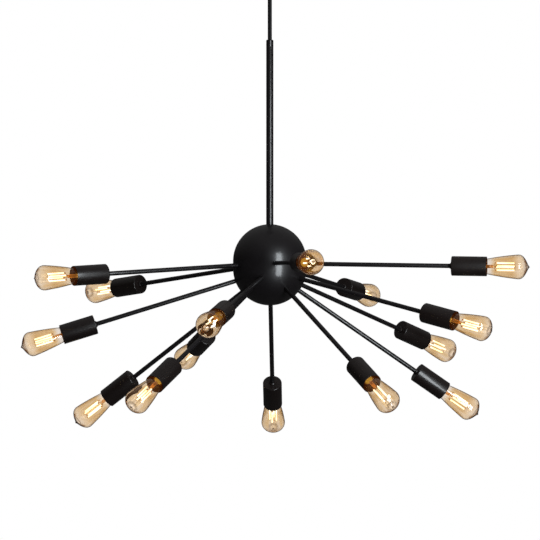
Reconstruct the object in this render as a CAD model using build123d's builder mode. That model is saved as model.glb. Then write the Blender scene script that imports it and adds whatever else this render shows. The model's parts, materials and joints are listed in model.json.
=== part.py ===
from build123d import *
import os
from math import cos, radians, sin, sqrt, tan

# Pendant ceiling lamp: a ball hung on a cable and a stem, with fifteen straight arms in three
# tiers, each arm ending in a sleeve, a lampholder and a filament bulb.
# Millimetres. The origin is the middle of the bracket's top face, on the ceiling, and +Z is up.

# Clearances
press_gap = 0.05            # radial, between pieces that are screwed or pressed together
slip_gap = 0.2              # radial, where a tube passes a plate
running_gap = 0.3           # between faces that move past each other
seat_gap = 0.05             # between the small pieces of a bulb that touch on the real one

# Ceiling bracket
bracket_w = 22
bracket_t = 2
bracket_tab = 16            # depth of the turned-down ends
bracket_bend_r = 3
bracket_gap = 1.4           # tab to canopy wall, at the middle of the tab
ceiling_hole_spacing = 70
ceiling_hole_d = 5

# Canopy and its two side screws
canopy_d = 120
canopy_h = 26               # ceiling to underside
canopy_wall = 1.2
canopy_edge_r = 6
canopy_rim_gap = 0.5        # rim to ceiling
canopy_screw_d = 4
canopy_screw_drop = 10      # ceiling to the screws' axis
canopy_screw_past_tab = 2
screw_head_d = 8
screw_head_t = 2.5

# Cord grip under the canopy
grip_len = 20
grip_d = 18
grip_end_d = 14
grip_flange_t = 4
grip_thread_d = 11
grip_thread_len = 8
grip_nut_flats = 17
grip_nut_t = 4
swing_limit = 12            # degrees that the cable may swing in the flared mouth
pivot_height = 6            # swing axis above the mouth

# Terminal block inside the canopy
block_l = 24
block_w = 16
block_h = 12
block_edge_r = 1.5
block_socket = 4

# Cable and the crimp ferrule that holds it in the stem
cable_d = 8.2
cable_free = 90             # grip to stem cap
ferrule_d = 10
ferrule_len = 8

# Stem
stem_d = 14.2
stem_wall = 1
stem_show = 364             # top of the ball to the top of the stem's cap
stem_cap_h = 14
stem_cap_edge_r = 1.5
stem_plug_len = 12
set_screw_d = 4
set_screw_drop = 7          # top of the cap to the screw's axis
set_screw_azimuth = -125
stem_lead_d = 6
stem_lead_seat = 6

# Ball: two half shells with a short straight band between the domes
ball_d = 144
ball_band = 15
ball_wall = 1.5

# Bridge across the ball, and the wiring connector under it
bridge_w = 16
bridge_t = 2
bridge_below_seam = 0.3
bridge_azimuth = 46
bridge_boss_d = 22
bridge_boss_h = 16
bridge_hole_d = 9
connector_d = 32
connector_len = 38
connector_edge_r = 3

# Arms
arm_d = 8.8
arm_wall = 1
arm_reach = 357             # lamp axis to the back of the sleeve, along the arm
arm_tail = 12               # length inside the ball's wall
arm_into_holder = 10
arm_nut_flats = 13
arm_nut_t = 5
arm_lead_d = 3.6
arm_lead_seat = 3.5
upper_focus_below_seam = 4.5    # where the upper arms' axes meet the lamp's axis
lower_focus_below_seam = 18.5   # where the other arms' axes meet it

# Tiers: azimuth of the first arm and tilt of all five, in degrees, then each arm's own set in
# whole degrees of turn and tilt, because screwed-in arms never stand quite true
tiers = {
    "upper": (-80, -3.5, [(-1, -1), (0, 2), (1, 0), (1, 0), (0, -2)]),
    "middle": (-104, -16.5, [(0, 0), (1, 1), (0, 0), (0, -1), (0, -1)]),
    "lower": (-128, -34, [(0, 0), (-1, 0), (-1, 1), (1, -1), (-2, -1)]),
}

# Sleeve and the collar behind it
sleeve_d = 38.2
sleeve_len = 68.5
sleeve_wall = 1.2
sleeve_edge_r = 1.5
collar_d = 12.5
collar_len = 3.5
collar_chamfer = 1.5

# Lampholder in the sleeve
holder_d = 34
holder_recess = 14          # sleeve mouth to lampholder rim
holder_rim_chamfer = 1

# Bulb cap, for a 27 mm screw socket
cap_d = 26.4
cap_wall = 0.6
cap_len = 21
cap_skirt = 6.5             # plain stretch under the rim
cap_chamfer = 3
thread_depth = 0.9
thread_pitch = 3.6
thread_crest_w = 2.8
thread_turns = 3
cap_recess = 12             # sleeve mouth to the cap's rim
insulator_h = 3.5
contact_d = 9
contact_h = 1.5

# Bulb glass, with its stations measured from the sleeve's mouth
bulb_d = 48
bulb_belly_at = 61
bulb_side_pull = (20.6, 24)         # radius and station that bow the tapered side
bulb_shoulder_pull = (24.2, 68.5)   # the same for the round of the shoulder
bulb_crown_pull = (20, 73)          # where the shoulder runs out into the conical crown
bulb_crown_end = (9.3, 78.3)        # where the drawn tip begins
bulb_tip_pull = (2.2, 81.2)
bulb_show = 84                      # point of the tip
bulb_tip_solid = 3
bulb_wall = 1
neck_in_cap = 5

# Bulb inside: pinched glass stem, two wire crosses and four filament sticks
pinch_len = 30
pinch_foot_t = 1.5
pinch_mid_d = 11
pinch_top_d = 6
pinch_mid_at = 9
filament_len = 37
filament_d = 2.6
filament_circle_d = 14
filament_at = 17            # sleeve mouth to the foot of the sticks
filament_count = 4
cross_t = 0.8
post_d = 1.6
bulb_clocking = 12          # degrees from level to a bulb's first filament

# Heights
pivot_z = -canopy_h - grip_len + pivot_height
stem_top_z = -canopy_h - grip_len - cable_free
ball_z = stem_top_z - stem_show - ball_d / 2 - ball_band / 2
seam_z = ball_z + ball_band / 2
dome_z = ball_z - ball_band / 2
bridge_top_z = seam_z - bridge_below_seam
stem_tube_top_z = stem_top_z - stem_cap_h
ferrule_top_z = stem_tube_top_z - stem_plug_len - slip_gap
ball_inner_r = ball_d / 2 - ball_wall

# Stations along an arm, from the lamp's axis
arm_start = ball_inner_r - arm_tail
sleeve_mouth = arm_reach + sleeve_len
holder_back = arm_reach + sleeve_wall
arm_end = holder_back + arm_into_holder
cap_rim = sleeve_mouth - cap_recess
cap_foot = cap_rim - cap_len
contact_end = cap_foot - insulator_h - contact_h - 2 * seat_gap
socket_floor = contact_end - running_gap
holder_rim = sleeve_mouth - holder_recess


def section_at(height):
    """Upright plane through the lamp's axis, with its origin at a height."""
    return Plane(origin=(0, 0, height), x_dir=(1, 0, 0), z_dir=(0, -1, 0))


def arm_plane(height, azimuth, tilt):
    """Frame of one arm: origin on the lamp's axis, Z outwards along the arm, X level."""
    turn = radians(azimuth)
    lift = radians(tilt)
    outward = (cos(turn) * cos(lift), sin(turn) * cos(lift), sin(lift))
    return Plane(origin=(0, 0, height), x_dir=(-sin(turn), cos(turn), 0), z_dir=outward)


def to_inner_wall(height, tilt):
    """Distance along an arm from the lamp's axis to the inside of the ball's wall."""
    lift = radians(tilt)
    to_band = ball_inner_r / cos(lift)
    if height + to_band * sin(lift) > dome_z:
        return to_band
    rise = height - dome_z
    return sqrt(ball_inner_r**2 - (rise * cos(lift)) ** 2) - rise * sin(lift)


def to_connector(tilt):
    """Distance along an arm from the lamp's axis to the seat of its lead in the connector."""
    return connector_d / 2 / cos(radians(tilt)) - arm_lead_seat


# Every arm as (tier, number, plane, tilt)
arms = []
for tier, (first_azimuth, tier_tilt, trims) in tiers.items():
    below_seam = upper_focus_below_seam if tier == "upper" else lower_focus_below_seam
    for index, (turn_trim, tilt_trim) in enumerate(trims):
        arm_azimuth = first_azimuth + 360 / len(trims) * index + turn_trim
        arm_tilt = tier_tilt + tilt_trim
        frame = arm_plane(seam_z - below_seam, arm_azimuth, arm_tilt)
        arms.append((tier, index + 1, frame, arm_tilt))
all_planes = [frame for tier, number, frame, tilt in arms]


def save(builder, name):
    """Label a finished piece and write it as its own node."""
    builder.part.label = name
    export_step(builder.part, f"parts/{name}.step")


os.makedirs("parts", exist_ok=True)

# Ceiling bracket: a flat bar with turned-down ends
bracket_len = canopy_d - 2 * canopy_wall - 2 * bracket_gap
with BuildPart() as ceiling_bracket:
    with BuildSketch(Plane.XZ.offset(-bracket_w / 2)):
        Rectangle(bracket_len, bracket_tab, align=(Align.CENTER, Align.MAX))
        with Locations((0, -bracket_t)):
            Rectangle(
                bracket_len - 2 * bracket_t,
                bracket_tab,
                align=(Align.CENTER, Align.MAX),
                mode=Mode.SUBTRACT,
            )
    extrude(amount=bracket_w)
    bends = ceiling_bracket.edges().filter_by(Axis.Y).group_by(Axis.Z)[-1]
    fillet(bends, bracket_bend_r)
    with GridLocations(ceiling_hole_spacing, 1, 2, 1):
        Hole(ceiling_hole_d / 2, depth=bracket_t)
    with BuildSketch(Plane.YZ.offset(-canopy_d / 2)):
        with Locations((0, -canopy_screw_drop)):
            Circle(canopy_screw_d / 2 + press_gap)
    extrude(amount=canopy_d, mode=Mode.SUBTRACT)
save(ceiling_bracket, "ceiling_bracket")

# Canopy: a shallow spun cup, open to the ceiling
with BuildPart() as canopy:
    with BuildSketch(Plane.XY.offset(-canopy_h)):
        Circle(canopy_d / 2)
    extrude(amount=canopy_h - canopy_rim_gap)
    fillet(canopy.edges().group_by(Axis.Z)[0], canopy_edge_r)
    offset(amount=-canopy_wall, openings=canopy.faces().sort_by(Axis.Z)[-1])
    with BuildSketch(Plane.XY.offset(-canopy_h)):
        Circle(grip_thread_d / 2 + slip_gap)
    extrude(amount=canopy_wall, mode=Mode.SUBTRACT)
    with BuildSketch(Plane.YZ.offset(-canopy_d / 2)):
        with Locations((0, -canopy_screw_drop)):
            Circle(canopy_screw_d / 2 + slip_gap)
    extrude(amount=canopy_d, mode=Mode.SUBTRACT)
save(canopy, "canopy")

# Canopy screws: one from each side, through the wall into the bracket's tab
screw_foot = bracket_len / 2 - bracket_t - canopy_screw_past_tab
screw_axis = (0, 0, -canopy_screw_drop)
screw_seats = [Plane(origin=screw_axis, x_dir=(0, 1, 0), z_dir=(side, 0, 0)) for side in (-1, 1)]
with BuildPart() as canopy_screws:
    with BuildSketch(*[seat.offset(screw_foot) for seat in screw_seats]):
        Circle(canopy_screw_d / 2)
    extrude(amount=canopy_d / 2 - screw_foot)
    with BuildSketch(*[seat.offset(canopy_d / 2) for seat in screw_seats]):
        Circle(screw_head_d / 2)
    extrude(amount=screw_head_t)
    heads = canopy_screws.edges().filter_by(GeomType.CIRCLE).group_by(Axis.X)
    chamfer(heads[0] + heads[-1], screw_head_t / 4)
save(canopy_screws, "canopy_screws")

# Cord grip: threaded through the canopy's floor, with a mouth flared for the cable's swing
grip_bore_r = cable_d / 2 / cos(radians(swing_limit)) + running_gap
grip_mouth_r = grip_bore_r + pivot_height * tan(radians(swing_limit))
with BuildPart() as cord_grip:
    with BuildSketch(section_at(-canopy_h)):
        with BuildLine():
            Polyline(
                (grip_bore_r, grip_thread_len),
                (grip_thread_d / 2, grip_thread_len),
                (grip_thread_d / 2, 0),
                (grip_d / 2, 0),
                (grip_d / 2, -grip_flange_t),
                (grip_end_d / 2, -grip_len),
                (grip_mouth_r, -grip_len),
                (grip_bore_r, pivot_height - grip_len),
                close=True,
            )
        make_face()
    revolve(axis=Axis.Z)
save(cord_grip, "cord_grip")

# Cord grip nut: on the canopy's floor
with BuildPart() as cord_grip_nut:
    with BuildSketch(Plane.XY.offset(canopy_wall - canopy_h)):
        RegularPolygon(grip_nut_flats / 2, 6, major_radius=False)
        Circle(grip_thread_d / 2 + press_gap, mode=Mode.SUBTRACT)
    extrude(amount=grip_nut_t)
save(cord_grip_nut, "cord_grip_nut")

# Terminal block: under the bracket, over the end of the cable
with BuildPart() as terminal_block:
    with BuildSketch(Plane.XY.offset(-bracket_t)):
        Rectangle(block_l, block_w)
    extrude(amount=-block_h)
    fillet(terminal_block.edges().filter_by(Axis.Z), block_edge_r)
    with BuildSketch(Plane.XY.offset(-bracket_t - block_h)):
        Circle(cable_d / 2 + slip_gap)
    extrude(amount=block_socket, mode=Mode.SUBTRACT)
save(terminal_block, "terminal_block")

# Cable tail: the fixed end of the cable, from the grip up into the terminal block
tail_foot_z = pivot_z + cable_d / 2 + running_gap
with BuildPart() as cable_tail:
    with BuildSketch(Plane.XY.offset(tail_foot_z)):
        Circle(cable_d / 2)
    extrude(amount=-bracket_t - block_h + block_socket - slip_gap - tail_foot_z)
save(cable_tail, "cable_tail")

# Suspension cable: its rounded top turns in the grip, its foot is crimped in the ferrule
with BuildPart() as suspension_cable:
    with BuildSketch(Plane.XY.offset(pivot_z)):
        Circle(cable_d / 2)
    extrude(amount=ferrule_top_z - ferrule_len - pivot_z)
    with Locations((0, 0, pivot_z)):
        Sphere(cable_d / 2)
save(suspension_cable, "suspension_cable")

# Cable ferrule: under the stem cap's plug, so that the cable carries the stem
with BuildPart() as cable_ferrule:
    with BuildSketch(Plane.XY.offset(ferrule_top_z)):
        Circle(ferrule_d / 2)
        Circle(cable_d / 2 + press_gap, mode=Mode.SUBTRACT)
    extrude(amount=-ferrule_len)
save(cable_ferrule, "cable_ferrule")

# Stem cap: round-edged top of the stem, plugged into the tube, with a radial set screw
cap_bore_r = cable_d / 2 + running_gap
set_screw_plane = arm_plane(stem_top_z - set_screw_drop, set_screw_azimuth, 0)
with BuildPart() as stem_cap:
    with BuildSketch(Plane.XY.offset(stem_tube_top_z)):
        Circle(stem_d / 2)
    extrude(amount=stem_cap_h)
    fillet(stem_cap.edges().group_by(Axis.Z)[-1], stem_cap_edge_r)
    with BuildSketch(Plane.XY.offset(stem_tube_top_z)):
        Circle(stem_d / 2 - stem_wall - press_gap)
    extrude(amount=-stem_plug_len)
    with BuildSketch(Plane.XY.offset(stem_top_z)):
        Circle(cap_bore_r)
    extrude(amount=-stem_cap_h - stem_plug_len, mode=Mode.SUBTRACT)
    with BuildSketch(set_screw_plane):
        Circle(set_screw_d / 2 + press_gap)
    extrude(amount=stem_d, mode=Mode.SUBTRACT)
save(stem_cap, "stem_cap")

# Set screw: a plain grub screw, flush with the stem cap's side
with BuildPart() as stem_set_screw:
    with BuildSketch(set_screw_plane.offset(cap_bore_r + press_gap)):
        Circle(set_screw_d / 2)
    extrude(amount=stem_d / 2 - cap_bore_r - press_gap)
save(stem_set_screw, "stem_set_screw")

# Stem tube: from the bridge inside the ball up to the stem cap
with BuildPart() as stem_tube:
    with BuildSketch(Plane.XY.offset(bridge_top_z)):
        Circle(stem_d / 2)
        Circle(stem_d / 2 - stem_wall, mode=Mode.SUBTRACT)
    extrude(amount=stem_tube_top_z - bridge_top_z)
save(stem_tube, "stem_tube")

# Stem lead: from the ferrule down the stem into the wiring connector
connector_top_z = bridge_top_z - bridge_t
with BuildPart() as stem_lead:
    with BuildSketch(Plane.XY.offset(connector_top_z - stem_lead_seat)):
        Circle(stem_lead_d / 2)
    extrude(amount=ferrule_top_z - ferrule_len - running_gap - connector_top_z + stem_lead_seat)
save(stem_lead, "stem_lead")

# Upper half shell: a dome with the stem's hole
with BuildPart() as ball_upper_shell:
    with BuildSketch(section_at(seam_z)):
        with BuildLine():
            CenterArc((0, 0), ball_d / 2, 0, 90)
            Line((0, ball_d / 2), (0, ball_inner_r))
            CenterArc((0, 0), ball_inner_r, 90, -90)
            Line((ball_inner_r, 0), (ball_d / 2, 0))
        make_face()
    revolve(axis=Axis.Z)
    with BuildSketch(Plane.XY.offset(seam_z)):
        Circle(stem_d / 2 + slip_gap)
    extrude(amount=ball_d, mode=Mode.SUBTRACT)
save(ball_upper_shell, "ball_upper_shell")

# Lower half shell: a dome and the band, pierced for every arm
with BuildPart() as ball_lower_shell:
    with BuildSketch(section_at(dome_z)):
        with BuildLine():
            CenterArc((0, 0), ball_d / 2, -90, 90)
            Line((ball_d / 2, 0), (ball_d / 2, ball_band))
            Line((ball_d / 2, ball_band), (ball_inner_r, ball_band))
            Line((ball_inner_r, ball_band), (ball_inner_r, 0))
            CenterArc((0, 0), ball_inner_r, 0, -90)
            Line((0, -ball_inner_r), (0, -ball_d / 2))
        make_face()
    revolve(axis=Axis.Z)
    with BuildSketch(*all_planes):
        Circle(arm_d / 2 + slip_gap)
    extrude(amount=ball_d, mode=Mode.SUBTRACT)
save(ball_lower_shell, "ball_lower_shell")

# Bridge: a bar welded across the lower shell, with a boss that the stem screws into
bridge_plane = Plane(
    origin=(0, 0, connector_top_z),
    x_dir=(cos(radians(bridge_azimuth)), sin(radians(bridge_azimuth)), 0),
    z_dir=(0, 0, 1),
)
with BuildPart() as ball_bridge:
    with BuildSketch(bridge_plane):
        Circle(ball_inner_r)
        Rectangle(ball_d, bridge_w, mode=Mode.INTERSECT)
        Circle(bridge_boss_d / 2)
        Circle(bridge_hole_d / 2, mode=Mode.SUBTRACT)
    extrude(amount=bridge_t)
    with BuildSketch(bridge_plane.offset(bridge_t)):
        Circle(bridge_boss_d / 2)
        Circle(stem_d / 2 + press_gap, mode=Mode.SUBTRACT)
    extrude(amount=bridge_boss_h)
save(ball_bridge, "ball_bridge")

# Wiring connector: a round block under the bridge, with a socket for every lead
lead_sockets = [frame.offset(to_connector(tilt) - slip_gap) for tier, number, frame, tilt in arms]
with BuildPart() as wiring_connector:
    with BuildSketch(Plane.XY.offset(connector_top_z)):
        Circle(connector_d / 2)
    extrude(amount=-connector_len)
    fillet(wiring_connector.edges().group_by(Axis.Z)[0], connector_edge_r)
    with BuildSketch(Plane.XY.offset(connector_top_z)):
        Circle(stem_lead_d / 2 + slip_gap)
    extrude(amount=-stem_lead_seat - slip_gap, mode=Mode.SUBTRACT)
    with BuildSketch(*lead_sockets):
        Circle(arm_lead_d / 2 + slip_gap)
    extrude(amount=connector_d, mode=Mode.SUBTRACT)
save(wiring_connector, "wiring_connector")

# Arm nuts: inside the ball, their outer faces shaped to its wall
with BuildPart() as ball_hollow:
    with Locations((0, 0, dome_z)):
        Sphere(ball_inner_r - press_gap)
        Cylinder(
            ball_inner_r - press_gap,
            ball_d,
            align=(Align.CENTER, Align.CENTER, Align.MIN),
        )
with BuildPart() as arm_nuts:
    for tier, number, frame, tilt in arms:
        wall_at = to_inner_wall(frame.origin.Z, tilt)
        with BuildSketch(frame.offset(wall_at - arm_nut_t)):
            RegularPolygon(arm_nut_flats / 2, 6, major_radius=False)
            Circle(arm_d / 2 + press_gap, mode=Mode.SUBTRACT)
        extrude(amount=arm_nut_t + ball_wall)
    add(ball_hollow.part, mode=Mode.INTERSECT)
save(arm_nuts, "arm_nuts")

# Arm leads: from the wiring connector through each arm to its lampholder
lead_end = arm_end + press_gap
with BuildPart() as arm_leads:
    for tier, number, frame, tilt in arms:
        lead_start = to_connector(tilt)
        with BuildSketch(frame.offset(lead_start)):
            Circle(arm_lead_d / 2)
        extrude(amount=lead_end - lead_start)
save(arm_leads, "arm_leads")

# One arm: a plain tube along Z, from inside the ball into the lampholder
with BuildPart() as arm:
    with BuildSketch(Plane.XY.offset(arm_start)):
        Circle(arm_d / 2)
        Circle(arm_d / 2 - arm_wall, mode=Mode.SUBTRACT)
    extrude(amount=arm_end - arm_start)

# One collar: a chamfered ring on the arm, against the sleeve's back
with BuildPart() as collar:
    with BuildSketch(Plane.XY.offset(arm_reach)):
        Circle(collar_d / 2)
    extrude(amount=-collar_len)
    chamfer(collar.edges().group_by(Axis.Z)[0], collar_chamfer)
    with BuildSketch(Plane.XY.offset(arm_reach)):
        Circle(arm_d / 2 + press_gap)
    extrude(amount=-collar_len, mode=Mode.SUBTRACT)

# One sleeve: a drawn cup, round at the back edge, pierced for the arm
with BuildPart() as sleeve:
    with BuildSketch(Plane.XY.offset(arm_reach)):
        Circle(sleeve_d / 2)
    extrude(amount=sleeve_len)
    fillet(sleeve.edges().group_by(Axis.Z)[0], sleeve_edge_r)
    offset(amount=-sleeve_wall, openings=sleeve.faces().sort_by(Axis.Z)[-1])
    with BuildSketch(Plane.XY.offset(arm_reach)):
        Circle(arm_d / 2 + slip_gap)
    extrude(amount=sleeve_wall, mode=Mode.SUBTRACT)

# One lampholder: screwed on the arm's end, with the bulb's socket in front
with BuildPart() as lampholder:
    with BuildSketch(Plane.XY.offset(holder_back)):
        Circle(holder_d / 2)
    extrude(amount=holder_rim - holder_back)
    chamfer(lampholder.edges().group_by(Axis.Z)[-1], holder_rim_chamfer)
    with BuildSketch(Plane.XY.offset(holder_rim)):
        Circle(cap_d / 2 + running_gap)
    extrude(amount=socket_floor - holder_rim, mode=Mode.SUBTRACT)
    with BuildSketch(Plane.XY.offset(holder_back)):
        Circle(arm_d / 2 + press_gap)
    extrude(amount=arm_into_holder + slip_gap, mode=Mode.SUBTRACT)

with BuildPart() as sleeve_collars:
    with Locations(*all_planes):
        add(collar.part)
save(sleeve_collars, "sleeve_collars")

for tier in tiers:
    tier_planes = [frame for arm_tier, number, frame, tilt in arms if arm_tier == tier]
    for piece, name in ((arm, "arms"), (sleeve, "sleeves"), (lampholder, "lampholders")):
        with BuildPart() as tier_set:
            with Locations(*tier_planes):
                add(piece.part)
        save(tier_set, f"{tier}_{name}")


# One bulb glass: thin blown envelope with a drawn tip, and the pinched stem inside its neck
neck_r = cap_d / 2 - cap_wall - slip_gap
neck_foot = cap_rim - neck_in_cap
tip_end = sleeve_mouth + bulb_show
inside_top = tip_end - bulb_tip_solid


def glass_outline(inset, point):
    """Neck, side, crown and tip of the bulb, drawn an inset inside its outer face up to a point."""
    neck_top = (neck_r - inset, cap_rim)
    side_pull = (bulb_side_pull[0] - inset, sleeve_mouth + bulb_side_pull[1])
    belly = (bulb_d / 2 - inset, sleeve_mouth + bulb_belly_at)
    shoulder_pull = (bulb_shoulder_pull[0] - inset, sleeve_mouth + bulb_shoulder_pull[1] - inset / 2)
    crown_pull = (bulb_crown_pull[0] - inset / 2, sleeve_mouth + bulb_crown_pull[1] - inset)
    crown_end = (bulb_crown_end[0] - inset / 2, sleeve_mouth + bulb_crown_end[1] - inset)
    tip_pull = (bulb_tip_pull[0], sleeve_mouth + bulb_tip_pull[1] - inset)
    Line((neck_r - inset, neck_foot), neck_top)
    Bezier(neck_top, side_pull, belly)
    Bezier(belly, shoulder_pull, crown_pull, crown_end)
    Bezier(crown_end, tip_pull, (0, point))


pinch_foot_r = neck_r - bulb_wall - seat_gap
with BuildPart() as bulb_glass:
    with BuildSketch(Plane.XZ):
        with BuildLine():
            glass_outline(0, tip_end)
            Line((0, tip_end), (0, inside_top))
            glass_outline(bulb_wall, inside_top)
            Line((neck_r - bulb_wall, neck_foot), (neck_r, neck_foot))
        make_face()
        with BuildLine():
            Polyline(
                (0, neck_foot),
                (pinch_foot_r, neck_foot),
                (pinch_foot_r, neck_foot + pinch_foot_t),
                (pinch_mid_d / 2, neck_foot + pinch_mid_at),
                (pinch_top_d / 2, neck_foot + pinch_len),
                (0, neck_foot + pinch_len),
                close=True,
            )
        make_face()
    revolve(axis=Axis.Z)

# One bulb cap: screw shell, insulator and contact, with the filaments on their wire crosses
skirt_foot = cap_rim - cap_skirt
thread_r = cap_d / 2 - thread_depth
thread_foot = skirt_foot - thread_depth - thread_turns * thread_pitch
cross_foot = sleeve_mouth + filament_at - cross_t - seat_gap
cross_top = sleeve_mouth + filament_at + filament_len + seat_gap
cross_l = filament_circle_d + filament_d
with BuildPart() as bulb_cap:
    with BuildSketch(Plane.XZ):
        with BuildLine():
            Polyline(
                (0, cap_foot),
                (thread_r - cap_chamfer, cap_foot),
                (thread_r, cap_foot + cap_chamfer),
                (thread_r, skirt_foot - thread_depth),
                (cap_d / 2, skirt_foot),
                (cap_d / 2, cap_rim),
                (0, cap_rim),
                close=True,
            )
        make_face()
    revolve(axis=Axis.Z)
    offset(amount=-cap_wall, openings=bulb_cap.faces().sort_by(Axis.Z)[-1])
    for turn in range(thread_turns):
        crest = thread_foot + (turn + 0.5) * thread_pitch
        with BuildSketch(Plane.XZ):
            with BuildLine():
                ThreePointArc(
                    (thread_r, crest - thread_crest_w / 2),
                    (cap_d / 2, crest),
                    (thread_r, crest + thread_crest_w / 2),
                )
                Polyline(
                    (thread_r, crest + thread_crest_w / 2),
                    (thread_r - cap_wall / 2, crest + thread_crest_w / 2),
                    (thread_r - cap_wall / 2, crest - thread_crest_w / 2),
                    (thread_r, crest - thread_crest_w / 2),
                )
            make_face()
        revolve(axis=Axis.Z)
    insulator_foot = cap_foot - insulator_h - seat_gap
    with BuildSketch(Plane.XY.offset(cap_foot - seat_gap)):
        Circle(thread_r - cap_chamfer)
    with BuildSketch(Plane.XY.offset(insulator_foot)):
        Circle(contact_d / 2)
    loft()
    with BuildSketch(Plane.XY.offset(insulator_foot - seat_gap)):
        Circle(contact_d / 2)
    extrude(amount=-contact_h)
    chamfer(bulb_cap.edges().group_by(Axis.Z)[0], contact_h / 2)
    with BuildSketch(Plane.XY.offset(cross_foot), Plane.XY.offset(cross_top)):
        Rectangle(cross_l, filament_d)
        Rectangle(filament_d, cross_l)
    extrude(amount=cross_t)
    with BuildSketch(Plane.XY.offset(neck_foot + pinch_len + seat_gap)):
        Circle(post_d / 2)
    extrude(amount=cross_foot - neck_foot - pinch_len - seat_gap)
    with BuildSketch(Plane.XY.offset(sleeve_mouth + filament_at)):
        with PolarLocations(filament_circle_d / 2, filament_count):
            Circle(filament_d / 2)
    extrude(amount=filament_len)

for tier, number, frame, tilt in arms:
    seat = Location(frame) * Rotation(0, 0, bulb_clocking)
    for piece, name in ((bulb_glass, "glass"), (bulb_cap, "cap")):
        with BuildPart() as fitted:
            with Locations(seat):
                add(piece.part)
        save(fitted, f"{tier}_bulb_{number}_{name}")
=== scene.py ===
import json
from math import cos, pi, radians, sin, tan

import bmesh
import bpy
from mathutils import Matrix, Vector


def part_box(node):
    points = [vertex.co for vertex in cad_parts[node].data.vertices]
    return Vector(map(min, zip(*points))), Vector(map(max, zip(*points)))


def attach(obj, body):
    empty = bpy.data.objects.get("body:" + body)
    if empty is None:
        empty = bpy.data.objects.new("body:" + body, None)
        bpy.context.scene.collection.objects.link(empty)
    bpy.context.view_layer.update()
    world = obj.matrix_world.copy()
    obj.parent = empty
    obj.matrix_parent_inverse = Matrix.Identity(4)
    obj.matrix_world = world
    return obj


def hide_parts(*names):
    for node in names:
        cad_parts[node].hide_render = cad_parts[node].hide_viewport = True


# Pendant ceiling lamp: black ball, stem and cable, fifteen arms with sleeves and filament bulbs.
# The lamp's sizes are in millimetres and multiplied by MM where a mesh is made, the studio's in metres.

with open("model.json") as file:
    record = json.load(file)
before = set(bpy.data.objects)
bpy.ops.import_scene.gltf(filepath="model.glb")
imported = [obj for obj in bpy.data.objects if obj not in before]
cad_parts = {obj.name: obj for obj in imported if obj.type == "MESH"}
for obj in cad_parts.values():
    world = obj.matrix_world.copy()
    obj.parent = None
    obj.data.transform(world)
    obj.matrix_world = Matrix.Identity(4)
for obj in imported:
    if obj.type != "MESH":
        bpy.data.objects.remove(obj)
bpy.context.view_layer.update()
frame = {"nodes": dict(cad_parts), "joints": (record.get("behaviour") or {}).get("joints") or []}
MM = 0.001

# Gaps between fitted pieces
SLIP_GAP = 0.2
CLOSE_GAP = 0.05

# Stem and cable
STEM_D = 14.2
STEM_WALL = 1
STEM_EDGE = 0.2
CABLE_D = 8.2
CABLE_POINTS = 6

# Arms, collars and sleeves, with stations along an arm measured from its sleeve's mouth
SLEEVE_D = 38.2
SLEEVE_LEN = 68.5
SLEEVE_WALL = 1.2
SLEEVE_EDGE = 1.5
SLEEVE_LIP = 0.35
ARM_D = 8.8
ARM_WALL = 1
ARM_EDGE = 0.3
ARM_REACH = 357             # from where a tier's axes meet in the ball to the sleeve's back
ARM_IN_BALL = 58.5          # from the same point to the arm's inner end
ARM_IN_HOLDER = 10
ARM_START = ARM_IN_BALL - ARM_REACH - SLEEVE_LEN
ARM_END = SLEEVE_WALL + ARM_IN_HOLDER - SLEEVE_LEN
COLLAR_D = 12.5
COLLAR_LEN = 3.5
COLLAR_CHAMFER = 1.5
COLLAR_EDGE = 0.5
COLLAR_NOSE_EDGE = 0.4

# Lampholders
HOLDER_D = 34
HOLDER_RIM = -14
HOLDER_BACK = SLEEVE_WALL - SLEEVE_LEN
HOLDER_EDGE = 0.8
HOLDER_RING_D = 30
HOLDER_RING_EDGE = 0.4
HOLDER_STEP = HOLDER_RIM - 1.2
HOLDER_STEP_EDGE = 0.2
HOLDER_LIT_TO = HOLDER_RIM - 1.6    # lit by the bulb from the rim back to this station
SOCKET_D = 27
SOCKET_FLOOR = -38.5

# Screw caps of the bulbs
CAP_D = 26.4
CAP_ROOT_D = 24.6
CAP_RIM = -12
CAP_FOOT = -33
CAP_FOOT_D = 20.4
CAP_WALL = 0.6
CAP_EDGE = 0.3
THREAD_PITCH = 3.63
THREAD_TOP = CAP_RIM - 3.5
THREAD_FOOT = CAP_FOOT + 2
THREAD_FADE = 2             # length over which the thread runs out at each end
THREAD_ROWS = 56
SIDE_TOP = CAP_RIM - 0.5
SIDE_FOOT = CAP_FOOT + 2.5
INSULATOR_FOOT = -36.55
CONTACT_D = 9
CONTACT_EDGE = 0.6
CONTACT_END = -38.1

# Glass of the bulbs, with (radius, station) points for the envelope's curves
NECK_R = 12.4
NECK_FOOT = -17
GLASS_WALL = 0.8
BELLY = (24, 61)
SIDE_PULL = (20.6, 24)
SHOULDER_PULL = (24.2, 68.5)
CROWN_PULL = (20, 73)
TIP_FOOT = (9.3, 78.3)
TIP_PULL = (2.2, 81.2)
TIP_END = 84
TIP_SOLID = 3               # glass between the hollow and the tip's end

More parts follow.
